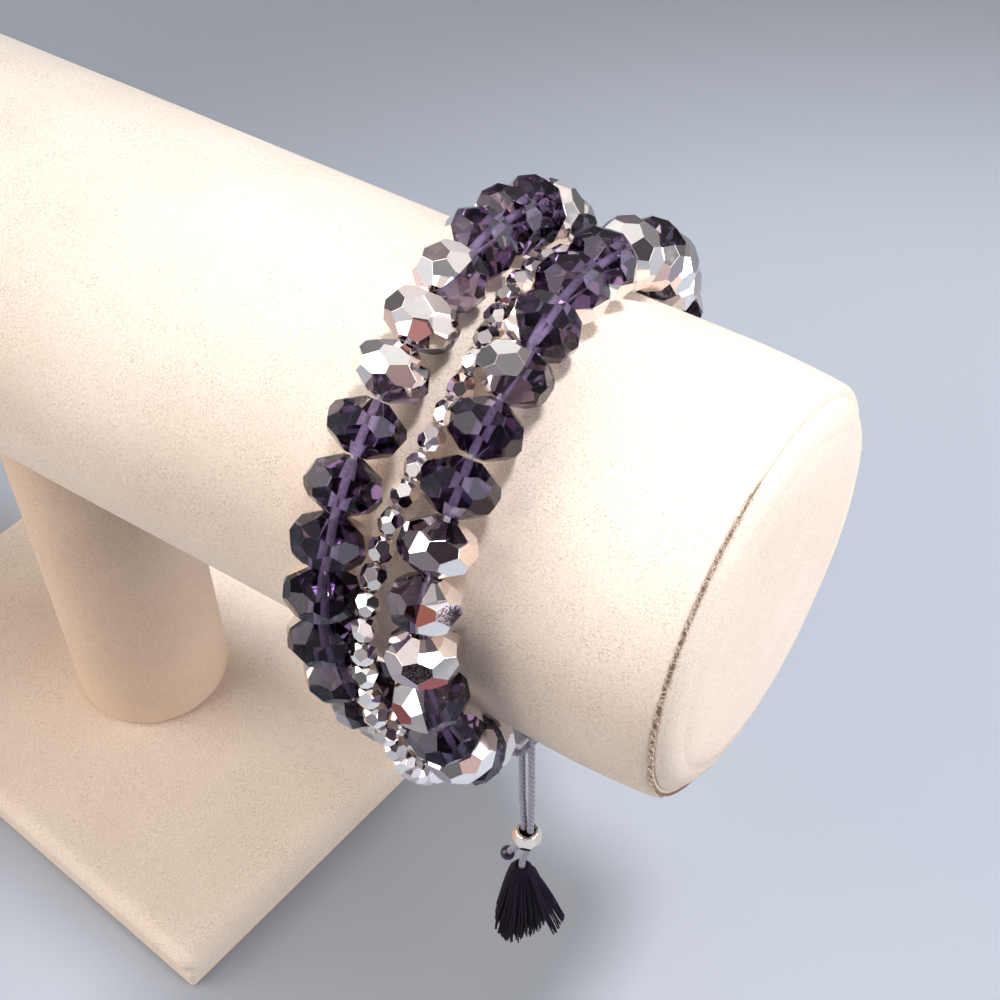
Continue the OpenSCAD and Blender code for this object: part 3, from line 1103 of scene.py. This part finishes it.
    def build(self) -> None:
        """Build the stand and dress it in velvet."""
        velvet = VelvetFinish().make("cream_velvet")
        # The post wears a darker, more saturated copy of the cream velvet: painted shade under the roll.
        shaded = VelvetFinish((0.84, 0.645, 0.485), (0.77, 0.575, 0.425), (0.36, 0.22, 0.15))
        shaded = shaded.make("post_velvet_painted_shade")
        shadow = VelvetFinish((0.36, 0.23, 0.17), (0.28, 0.175, 0.12), (0.14, 0.08, 0.05)).make("seam_shadow")
        made = [
            (self.make_base(), "stand_base"),
            (self.make_post(), "stand_post"),
            (self.make_roll(), "stand_roll"),
            (self.make_disc(1), "end_disc_right"),
            (self.make_disc(-1), "end_disc_left"),
        ]
        for piece, node in made:
            dress(piece, shaded if node == "stand_post" else velvet)
            if node.startswith("end_disc"):
                self.trim(piece, 1 if node.endswith("right") else -1, velvet, shadow)
            hand_over(piece, node)


# The beads


@dataclass(frozen=True)
class Cut:
    """How a bead is cut: facet count, size, end table, hole, broken edge and tilts."""

    facets: int
    width: float
    length: float
    table: float
    hole: float
    edge: float
    crown_tilt: float = 50.0
    girdle_tilt: float = 18.0

    def planes(self) -> List[Tuple[Vector, float]]:
        """The facet planes of both halves.

        Returns:
            Each plane's outward way and its distance from the bead's middle.
        """
        crown, girdle = math.radians(self.crown_tilt), math.radians(self.girdle_tilt)
        half = math.pi / self.facets
        reach = self.table * math.cos(crown) * math.cos(half) + self.length / 2 * math.sin(crown)
        rise = self.width / 2 * (1 - math.cos(half)) / (2 * math.tan(girdle))
        waist = self.width / 2 * math.cos(girdle) - rise * math.sin(girdle)
        cuts = []
        for k in range(self.facets):
            for tilt, far, turn, up in ((crown, reach, 1, 1), (girdle, waist, 0, 1),
                                        (girdle, waist, 1, -1), (crown, reach, 0, -1)):
                a, flat = (2 * k + turn) * half, math.cos(tilt)
                cuts.append((Vector((flat * math.cos(a), flat * math.sin(a), up * math.sin(tilt))), far))
        return cuts

    def model(self, name: str) -> bpy.types.Object:
        """Cut one bead from a blank, drill it and break its edges.

        Args:
            name: The bead's name.

        Returns:
            The bead, in millimetres, with its hole along Z.
        """
        deselect_all()
        bpy.ops.mesh.primitive_cylinder_add(vertices=4 * self.facets, radius=self.width, depth=self.length)
        bead = bpy.context.object
        bead.name = name
        with editing(bead):
            for way, far in self.planes():
                bpy.ops.mesh.select_all(action="SELECT")
                bpy.ops.mesh.bisect(plane_co=way * far, plane_no=way, use_fill=True, clear_outer=True,
                                    threshold=1e-5)
            bpy.ops.mesh.select_all(action="SELECT")
            bpy.ops.mesh.remove_doubles(threshold=0.002)
            pick(bead, "EDGE", lambda e: e.calc_face_angle(0.0) > 0.05)
            bpy.ops.mesh.bevel(offset=self.edge, segments=1, affect="EDGES")
            pick(bead, "FACE", lambda f: abs(f.normal.z) > 0.999)
            bpy.ops.mesh.delete(type="FACE")
            bpy.ops.mesh.select_mode(type="EDGE")
            bpy.ops.mesh.primitive_cylinder_add(vertices=16, radius=self.hole / 2, depth=self.length,
                                                end_fill_type="NOTHING")
            for end in (1, -1):
                pick(bead, "EDGE", lambda e: e.is_boundary and e.verts[0].co.z * end > self.length / 2 - 0.01)
                bpy.ops.mesh.bridge_edge_loops()
            bpy.ops.mesh.select_all(action="SELECT")
            bpy.ops.mesh.normals_make_consistent(inside=False)
        return bead


@dataclass(frozen=True)
class Side:
    """Which side of a bead carries the coat, as the front viewpoint sees it.

    A turn of 0 faces the viewer, 90 is the viewer's right, 180 the far side and
    -90 the left. A positive shift leaves more glass bare. The clearness runs from
    0 for deep glass to 1 for clear glass.
    """

    turn: float
    shift: float = 0.0
    clearness: float = 0.3


@dataclass(frozen=True)
class Mark:
    """A facet with a tone of its own, and its place on the bead in the front view, in half widths.

    A tone under 0.05 is dark and speckled, then comes smoky up to 0.2, bright up
    to 0.7 and warm up to 0.94, and above 0.95 the facet shows a painted red reflection.
    """

    bead: int
    right: float
    up: float
    tone: float


class Coat(Enum):
    """How much of a bead wears the mirror coat."""

    HALF = "half"
    ALL = "all"


def bead_places(node: str, axis_height: float) -> List[np.ndarray]:
    """Find the middles of a strand's beads, in order along the strand.

    Args:
        node: The strand's CAD node.
        axis_height: Height of the roll's axis.

    Returns:
        The middles, in millimetres.
    """
    mesh = bmesh.new()
    mesh.from_mesh(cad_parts[node].data)
    bmesh.ops.remove_doubles(mesh, verts=mesh.verts, dist=1e-6)
    seen = set()
    middles = []
    for start in mesh.verts:
        if start in seen:
            continue
        seen.add(start)
        stack, island = [start], []
        while stack:
            vert = stack.pop()
            island.append(vert.co)
            for edge in vert.link_edges:
                other = edge.other_vert(vert)
                if other not in seen:
                    seen.add(other)
                    stack.append(other)
        middles.append(np.mean([tuple(c) for c in island], axis=0) / MM)
    mesh.free()

    def angle(middle: np.ndarray) -> float:
        """The angle of a bead round the roll, from the knot upwards over the front."""
        a = math.degrees(math.atan2(middle[2] - axis_height, -middle[1]))
        return a + 360 if a < -72 else a

    return sorted(middles, key=angle)


def bead_frames(middles: Sequence[np.ndarray], twist: Tuple[int, int]) -> List[Matrix]:
    """Stand each bead on its thread, turned as the solids are.

    Args:
        middles: The beads' middles.
        twist: The turn from one bead to the next and the turn at which it starts again.

    Returns:
        One matrix for each bead, in millimetres.
    """
    frames = []
    last = len(middles) - 1
    for i, middle in enumerate(middles):
        way = Vector(middles[min(i + 1, last)] - middles[max(i - 1, 0)]).normalized()
        frames.append(
            Matrix.Translation(middle)
            @ Matrix.Rotation(math.atan2(way.y, way.x), 4, "Z")
            @ Matrix.Rotation(math.acos(way.z), 4, "Y")
            @ Matrix.Rotation(math.radians(i * twist[0] % twist[1]), 4, "Z"))
    return frames


@dataclass
class Strand:
    """One strand of cut beads, each with its own coat and its own tone of facet."""

    name: str
    node: str
    slot: str
    cut: Cut
    twist: Tuple[int, int]
    coat: Coat
    sides: Dict[int, Side] = field(default_factory=dict)
    marks: Sequence[Mark] = ()
    seed: int = 3

    def model(self, finishes: Sequence[bpy.types.Material]) -> bpy.types.Object:
        """Cut the strand's bead, with its skin and its hole's wall in their finishes.

        Args:
            finishes: The materials for glass or skin, hole and coat.

        Returns:
            The bead.
        """
        bead = self.cut.model(self.name + "_model")
        for finish in finishes:
            bead.data.materials.append(finish)
        for facet in bead.data.polygons:
            in_hole = math.hypot(facet.center[0], facet.center[1]) < self.cut.hole / 2 + 0.02
            facet.material_index = HOLE if in_hole else SKIN
        return bead

    def wear_coat(self, bead: bpy.types.Object, way: Vector, shift: float) -> None:
        """Cut a bead along the edge of its coat and give the coated side its finish.

        Args:
            bead: The bead, in its own frame.
            way: The way to the coated side, in that frame.
            shift: How far the coat's edge lies off the middle, in half widths.
        """
        far = shift * self.cut.width / 2
        with editing(bead):
            bpy.ops.mesh.select_all(action="SELECT")
            bpy.ops.mesh.bisect(plane_co=way * far, plane_no=way, threshold=1e-5)
        for facet in bead.data.polygons:
            if facet.material_index == SKIN and Vector(facet.center).dot(way) > far:
                facet.material_index = COATED

    def coat_half(self, bead: bpy.types.Object, place: Matrix, side: Side, front: Front) -> None:
        """Coat the side of a bead that its row or chance names.

        Args:
            bead: The bead, in its own frame.
            place: Its place on the strand.
            side: The coated side.
            front: The photograph's viewpoint.
        """
        turn = math.radians(side.turn)
        hole = (place.to_3x3() @ Vector((0, 0, 1))).normalized()
        look = (front.eye - place.translation).normalized()
        ahead = (look - look.dot(hole) * hole).normalized()
        across = hole.cross(ahead)
        if across.dot(front.right) < 0:
            across = -across
        way = place.to_3x3().inverted() @ (math.cos(turn) * ahead + math.sin(turn) * across)
        self.wear_coat(bead, way.normalized(), side.shift)

    def marked_ways(self, number: int, place: Matrix, front: Front) -> List[Tuple[Vector, float]]:
        """Find the ways of a bead's marked facets.

        Args:
            number: The bead's number on the strand.
            place: Its place on the strand.
            front: The photograph's viewpoint.

        Returns:
            Each way in the bead's own frame, with its tone.
        """
        look = (front.eye - place.translation).normalized()
        rise = look.cross(front.right)
        ways = []
        for mark in (m for m in self.marks if m.bead == number):
            ahead = math.sqrt(max(0.0, 1.0 - mark.right ** 2 - mark.up ** 2))
            way = place.to_3x3().inverted() @ (mark.right * front.right + mark.up * rise + ahead * look)
            ways.append((way.normalized(), mark.tone))
        return ways

    def tones(self, bead: bpy.types.Object, chance: random.Random,
              wanted: Sequence[Tuple[Vector, float]]) -> List[float]:
        """Pick one tone for each facet, the same for all faces in its plane.

        Args:
            bead: The bead.
            chance: The seeded source of chance.
            wanted: The ways of marked facets and their tones.

        Returns:
            A value from 0 to 1 for each face.
        """
        keys = [tuple(round(c * 12) for c in facet.normal) for facet in bead.data.polygons]
        known = {key: chance.uniform(0.06, 0.93) for key in dict.fromkeys(keys)}
        coated = [f for f in bead.data.polygons if f.material_index == COATED and f.area > 0.5]
        for way, tone in wanted:
            nearest = max(coated, key=lambda facet: Vector(facet.normal).dot(way))
            known[keys[nearest.index]] = tone
        return [known[key] for key in keys]

    def build(self, axis_height: float, front: Front, finishes: Sequence[bpy.types.Material]) -> None:
        """Copy the modelled bead to every place on the strand.

        Args:
            axis_height: Height of the roll's axis.
            front: The photograph's viewpoint.
            finishes: The materials for glass or skin, hole and coat.
        """
        model = self.model(finishes)
        chance = random.Random(self.seed)
        copies = []
        for i, place in enumerate(bead_frames(bead_places(self.node, axis_height), self.twist)):
            bead = model.copy()
            bead.data = model.data.copy()
            bpy.context.scene.collection.objects.link(bead)
            if self.coat is Coat.HALF:
                side = self.sides.get(i, Side(chance.uniform(-180, 180), chance.uniform(-0.1, 0.2)))
                self.coat_half(bead, place, side, front)
            else:
                side = Side(0.0)
                for facet in bead.data.polygons:
                    if facet.material_index == SKIN:
                        facet.material_index = COATED
            tones = self.tones(bead, chance, self.marked_ways(i, place, front))
            set_faces(bead, "facet", tones)
            set_faces(bead, "clearness", [side.clearness] * len(tones))
            settle(bead, place)
            copies.append(bead)
        bpy.data.objects.remove(model)
        hand_over(join(self.name, copies), self.node)


LEFT_SIDES: Dict[int, Side] = {
    1: Side(-80), 2: Side(-140, 0.25), 3: Side(-165, 0.2, 0.1), 4: Side(180, 0.1, 0.1),
    5: Side(180, 0.1, 0.15), 6: Side(150, 0.2, 0.3), 7: Side(180, 0.2, 0.7), 8: Side(175, 0.2, 0.8),
    9: Side(-40, -0.1), 10: Side(-20, -0.1), 11: Side(-75, 0.1, 0.6), 12: Side(-160, 0.2, 0.75),
    13: Side(175, 0.2, 0.85), 14: Side(180, 0.2, 0.6), 15: Side(10), 16: Side(160, 0.1, 0.1),
}
RIGHT_SIDES: Dict[int, Side] = {
    0: Side(0), 1: Side(180, 0.2, 0.1), 2: Side(-25), 3: Side(150, 0.1, 0.2),
    4: Side(-90, 0.3, 0.2), 5: Side(0, -0.3), 6: Side(70, 0.15, 0.25), 7: Side(50),
    8: Side(180, 0.2, 0.0), 9: Side(-150, 0.1, 0.0), 10: Side(-80, 0.05, 0.55), 11: Side(-145, 0.1, 0.6),
    12: Side(140, 0.1, 0.3), 13: Side(140, 0.1, 0.6), 14: Side(0, -0.3), 15: Side(-60),
    16: Side(90, -0.1), 17: Side(20),
}
# Marks with tones of 0.95 and above are painted red reflections on the mirror coat.
LEFT_MARKS = (
    Mark(9, 0.15, -0.1, 0.95), Mark(9, -0.5, 0.3, 0.5), Mark(10, -0.2, -0.5, 0.955), Mark(10, 0.0, 0.4, 0.3),
    Mark(11, -0.4, 0.1, 0.6),
)
RIGHT_MARKS = (
    Mark(2, 0.1, -0.5, 0.95), Mark(4, -0.6, -0.3, 0.99), Mark(5, -0.2, -0.35, 0.03),
    Mark(5, 0.35, -0.65, 0.96), Mark(6, 0.35, -0.3, 0.03), Mark(7, -0.2, 0.1, 0.12),
    Mark(10, -0.3, 0.3, 0.4), Mark(14, 0.0, 0.4, 0.5), Mark(15, 0.0, 0.3, 0.5),
)


@dataclass
class Bracelet:
    """The three strands, their threads and the knot that closes them."""

    axis_height: float = 94.4
    big: Cut = Cut(8, 8.0, 5.65, 1.3, 0.86, 0.013, 58.0, 19.0)
    small: Cut = Cut(6, 2.75, 2.6, 0.75, 0.9, 0.01)
    knot_at: Point = (79.5, -9.703, 64.537)
    knot_tilt: float = -72.0
    knot_half: float = 3.1
    core_r: float = 1.8
    winding_r: float = 1.95
    winding_cord_r: float = 0.42
    winding_turns: int = 8
    winding_steps: int = 26

    def build(self, front: Front) -> None:
        """Build the strands and the knot, and dress the threads.

        Args:
            front: The photograph's viewpoint.
        """
        crystal = CrystalFinish().make("purple_crystal")
        bore = BoreFinish().make("bead_hole")
        coat = CoatFinish().make("mirror_coat")
        for name, node, sides, marks, seed in (
            ("crystal_beads_left", "crystal_strand_left", LEFT_SIDES, LEFT_MARKS, 5),
            ("crystal_beads_right", "crystal_strand_right", RIGHT_SIDES, RIGHT_MARKS, 8),
        ):
            strand = Strand(name, node, "crystal", self.big, (17, 45), Coat.HALF, sides, marks, seed)
            strand.build(self.axis_height, front, (crystal, bore, coat))
        silver = CoatFinish((0.97, 0.92, 0.91), (0.93, 0.84, 0.82), (0.78, 0.52, 0.50), (0.62, 0.55, 0.57))
        pure = silver.make("silver_coat")
        little = Strand("silver_beads", "silver_strand", "silver", self.small, (23, 60), Coat.ALL, seed=11)
        little.build(self.axis_height, front, (pure, pure, pure))
        thin = ThreadFinish((0.78, 0.74, 0.82), (0.5, 0.46, 0.56), roughness=0.25, twisted=False)
        clear = thin.make("clear_thread")
        for node in ("thread_left", "thread_right", "thread_silver"):
            dress(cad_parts[node], clear)
        self.make_knot()

    def make_knot(self) -> None:
        """Wind the closure knot from waxed cord round a core."""
        half, edge, reach = self.knot_half, self.core_r, self.winding_r
        steps = self.winding_steps * self.winding_turns
        winding = []
        for i in range(steps + 1):
            a = 2 * math.pi * i / self.winding_steps
            winding.append((reach * math.cos(a), reach * math.sin(a), -half + 2 * half * i / steps))
        coil = drawn_tube("closure_winding", [winding], self.winding_cord_r, 12)
        outline = [(0, -half), (1.5, -half), (edge, 0.4 - half), (edge, half - 0.4), (1.5, half), (0, half)]
        knot = join("closure_winding", [coil, lathe("knot_core", outline, 32)])
        tilt = math.radians(self.knot_tilt)
        way = Vector((0, math.sin(tilt), math.cos(tilt)))
        turn = Vector((0, 0, 1)).rotation_difference(way).to_matrix().to_4x4()
        settle(knot, Matrix.Translation(self.knot_at) @ turn)
        shade(knot, 50)
        dress(knot, ThreadFinish((0.42, 0.40, 0.46), (0.2, 0.19, 0.23), turns=160.0).make("knot_cord"))
        hand_over(knot, "closure_knot")


# The tassel and its cords


def cord_route(x: float, bends: Sequence[Tuple[float, float]]) -> Tuple[Point, ...]:
    """Lead a cord straight down from the knot and then along its bends.

    Args:
        x: Where the straight part hangs.
        bends: Rows of x and height for the rest.

    Returns:
        The points that the cord follows.
    """
    straight = [(x, z) for z in (63.4, 62.0, 60.0, 58.0, 56.0, 54.0, 52.0, 50.0, 48.0)]
    return tuple((x, -9.6, z) for x, z in (*straight, *bends))


@dataclass
class TasselDrop:
    """Two waxed cords with their beads and the tassel."""

    cord_d: float = 0.9
    long_route: Tuple[Point, ...] = cord_route(80.2, (
        (80.1, 46.0), (80.1, 44.0), (80.0, 42.0), (80.0, 40.0), (80.0, 38.0), (79.8, 36.4), (79.4, 34.8),
        (79.0, 33.2), (78.7, 31.6), (78.6, 29.6),
    ))
    short_route: Tuple[Point, ...] = cord_route(78.8, (
        (78.9, 46.0), (78.9, 44.0), (79.0, 42.0), (79.0, 40.0), (79.0, 38.0), (78.7, 36.4), (78.0, 34.9),
        (77.2, 33.5), (76.6, 32.2),
    ))
    slider: Cut = Cut(8, 4.0, 3.0, 1.5, 2.2, 0.04)
    slider_at: Point = (79.5, -9.6, 39.0)
    head: Point = (78.55, -9.6, 30.3)
    threads: int = 720
    thread_r: float = 0.15
    drop: float = 15.5
    flare: float = 3.8
    stray_every: int = 25
    stray_drop: float = 11.6
    stray_flare: float = 4.9
    binding_r: float = 0.22
    binding_turns: int = 5
    binding_steps: int = 20
    cords: Dict[str, bpy.types.Object] = field(default_factory=dict)

    def make_cord(self, name: str, route: Sequence[Point], finish: bpy.types.Material) -> bpy.types.Object:
        """Draw one cord along its route.

        Args:
            name: The cord's name.
            route: The points that it follows.
            finish: Its material.

        Returns:
            The cord.
        """
        cord = drawn_tube(name, [smooth_run(route, 4)], self.cord_d / 2, 16)
        settle(cord, Matrix.Identity(4))
        shade(cord, 60)
        dress(cord, finish)
        return cord

    def make_cords(self) -> None:
        """Draw both cords."""
        finish = ThreadFinish((0.40, 0.38, 0.44), (0.20, 0.19, 0.23), turns=34.0, roughness=0.5)
        waxed = finish.make("waxed_cord")
        self.cords = {
            "long": self.make_cord("cord_long", self.long_route, waxed),
            "short": self.make_cord("cord_short", self.short_route, waxed),
        }

    def make_slider(self, coat: bpy.types.Material) -> bpy.types.Object:
        """Cut the sliding bead.

        Args:
            coat: The mirror coat.

        Returns:
            The bead.
        """
        bead = self.slider.model("sliding_bead")
        dress(bead, coat)
        chance = random.Random(4)
        set_faces(bead, "facet", [chance.uniform(0.3, 0.9) for _ in bead.data.polygons])
        settle(bead, Matrix.Translation(self.slider_at))
        return bead

    def thread_run(self, chance: random.Random, stray: bool) -> List[Point]:
        """Let one thread fall from the tassel's head.

        Args:
            chance: The seeded source of chance.
            stray: Whether it goes with the lock that stands off to the right.

        Returns:
            The thread's points.
        """
        turn = chance.uniform(0, 2 * math.pi)
        share = math.sqrt(chance.random())
        flare = (self.flare + 0.35 * math.sin(3 * turn)) * share
        drop = self.drop + chance.uniform(-1.3, 0.6) - 0.6 * share
        lean = -0.5
        if stray:
            turn, flare, lean = chance.uniform(-0.3, 0.4), self.stray_flare, 1.2
            drop = self.stray_drop + chance.uniform(-1.0, 0.4)
        sway = chance.uniform(0, 2 * math.pi)
        wave = 0.12 + 0.2 * chance.random()
        run = []
        for k in range(9):
            t = k / 8
            out = (0.25 + 0.6 * share) * (1 - t) + flare * t ** 0.62
            bend = wave * math.sin(sway + 5.0 * t) * t
            run.append(tuple(Vector(self.head) + Vector((
                out * math.cos(turn) + lean * t * t + bend * math.sin(turn),
                out * math.sin(turn) - bend * math.cos(turn),
                -drop * t))))
        return run

    def make_tassel(self, silk: bpy.types.Material) -> bpy.types.Object:
        """Draw the tassel's threads with one stray lock, and their binding.

        Args:
            silk: The threads' material.

        Returns:
            The tassel.
        """
        chance = random.Random(21)
        runs = [self.thread_run(chance, i % self.stray_every == 0) for i in range(self.threads)]
        skirt = drawn_tube("tassel_threads", runs, self.thread_r, 4, lambda t: 1.0 - 0.25 * t)
        steps = self.binding_turns * self.binding_steps
        winding = []
        for k in range(steps + 1):
            a = 2 * math.pi * k / self.binding_steps
            reach, down = 0.85 + 0.45 * k / steps, -0.3 - 1.3 * k / steps
            at = Vector((reach * math.cos(a), reach * math.sin(a), down))
            winding.append(tuple(Vector(self.head) + at))
        tassel = join("tassel_threads", [skirt, drawn_tube("binding", [winding], self.binding_r, 8)])
        settle(tassel, Matrix.Identity(4))
        shade(tassel)
        dress(tassel, silk)
        return tassel

    def build(self) -> None:
        coat = CoatFinish((0.97, 0.88, 0.80), (0.90, 0.74, 0.64), (0.90, 0.74, 0.64)).make("warm_coat")
        silk = ThreadFinish((0.016, 0.005, 0.022), (0.004, 0.0015, 0.006), turns=30.0, roughness=0.55,
                            sheen=0.0, gloss=0.18).make("tassel_silk")
        slider, tassel = self.make_slider(coat), self.make_tassel(silk)
        hand_over(slider, "slider_bead")
        hand_over(tassel, "tassel")
        end_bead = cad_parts["end_bead"]
        dress(end_bead, GlossFinish().make("dark_gloss"))
        for key, node, route, riders in (
            ("long", "tassel_cord_long", self.long_route, [slider, tassel]),
            ("short", "tassel_cord_short", self.short_route, [end_bead]),
        ):
            cord = self.cords[key]
            hand_over(cord, node)


def main() -> None:
    """Build the room, the cords, the stand, the strands and the tassel in turn."""
    logging.basicConfig(level=logging.INFO, format="%(name)s: %(message)s")
    studio = Studio()
    front = studio.make_camera()
    drop = TasselDrop()
    drop.make_cords()
    studio.make_floor()
    studio.light()
    studio.make_room()
    bpy.context.scene.view_settings.view_transform = "Standard"
    Stand().build()
    Bracelet().build(front)
    drop.build()
    deselect_all()


if __name__ == "__main__":
    main()
